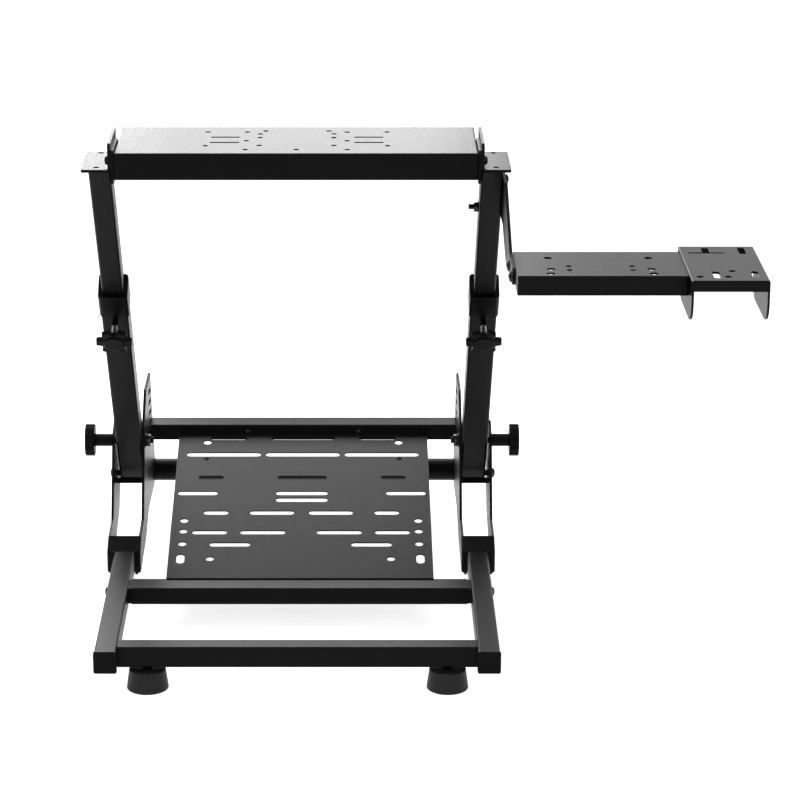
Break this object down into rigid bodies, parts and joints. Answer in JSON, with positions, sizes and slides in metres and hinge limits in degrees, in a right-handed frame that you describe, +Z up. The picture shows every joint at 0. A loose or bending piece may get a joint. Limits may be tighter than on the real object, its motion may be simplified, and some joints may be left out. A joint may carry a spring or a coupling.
{
  "type": "racing wheel stand",
  "caption": "Folding tubular stand for a driving-game wheel and pedals, with a slotted pedal plate, leaning telescopic uprights, a tilting wheel plate and a side shifter arm.",
  "frame": {"origin": "on the floor, under the middle of the whole stand with its shifter arm", "axes": "+Z up, +X to the driver's right, +Y away from the driver"},
  "size_m": [0.9188, 0.9662, 0.744],
  "materials": {
    "frame_black": "satin black powder coat",
    "plastic_black": "black moulded plastic",
    "rubber_black": "black rubber",
    "bolt_black": "black oxide",
    "steel": "bright zinc"
  },
  "bodies": {
    "base": {"base_rail_left": "frame_black", "base_rail_right": "frame_black", "cross_tube": "frame_black", "foot_stud_left": "steel", "foot_stud_right": "steel", "front_crossbar": "frame_black", "front_foot_left": "rubber_black", "front_foot_right": "rubber_black", "pedal_crossbar": "frame_black", "pedal_plate": "frame_black", "pivot_pin_left": "bolt_black", "pivot_pin_right": "bolt_black", "rail_cap_left": "plastic_black", "rail_cap_right": "plastic_black", "rear_crossbar": "frame_black", "rear_foot_left": "rubber_black", "rear_foot_right": "rubber_black", "upright_bracket_left": "frame_black", "upright_bracket_right": "frame_black"},
    "uprights": {"collar_left": "plastic_black", "collar_right": "plastic_black", "lower_upright_left": "frame_black", "lower_upright_right": "frame_black", "side_knob_left": "plastic_black", "side_knob_right": "plastic_black", "star_knob_left": "plastic_black", "star_knob_right": "plastic_black", "upright_cap_left": "plastic_black", "upright_cap_right": "plastic_black"},
    "mast": {"ear_bracket_left": "frame_black", "ear_bracket_right": "frame_black", "shifter_hanger": "frame_black", "shifter_plate": "frame_black", "shifter_tray": "frame_black", "upper_upright_left": "frame_black", "upper_upright_right": "frame_black", "wheel_pin_left": "bolt_black", "wheel_pin_right": "bolt_black"},
    "wheel_mount": {"wheel_cheek_left": "frame_black", "wheel_cheek_right": "frame_black", "wheel_plate": "frame_black"}
  },
  "joints": [
    {"name": "upright_tilt", "type": "hinge", "parent": "base", "child": "uprights", "pos_m": [-0.1311, 0.30592, 0.119], "axis": [-1, 0, 0], "range_deg": [-6, 18]},
    {"name": "height_slide", "type": "slide", "parent": "uprights", "child": "mast", "axis": [0, -0.6252, 0.7804], "range_m": [-0.1, 0.12]},
    {"name": "wheel_plate_tilt", "type": "hinge", "parent": "mast", "child": "wheel_mount", "pos_m": [-0.1311, -0.15409, 0.718], "axis": [1, 0, 0], "range_deg": [-3, 12]}
  ]
}
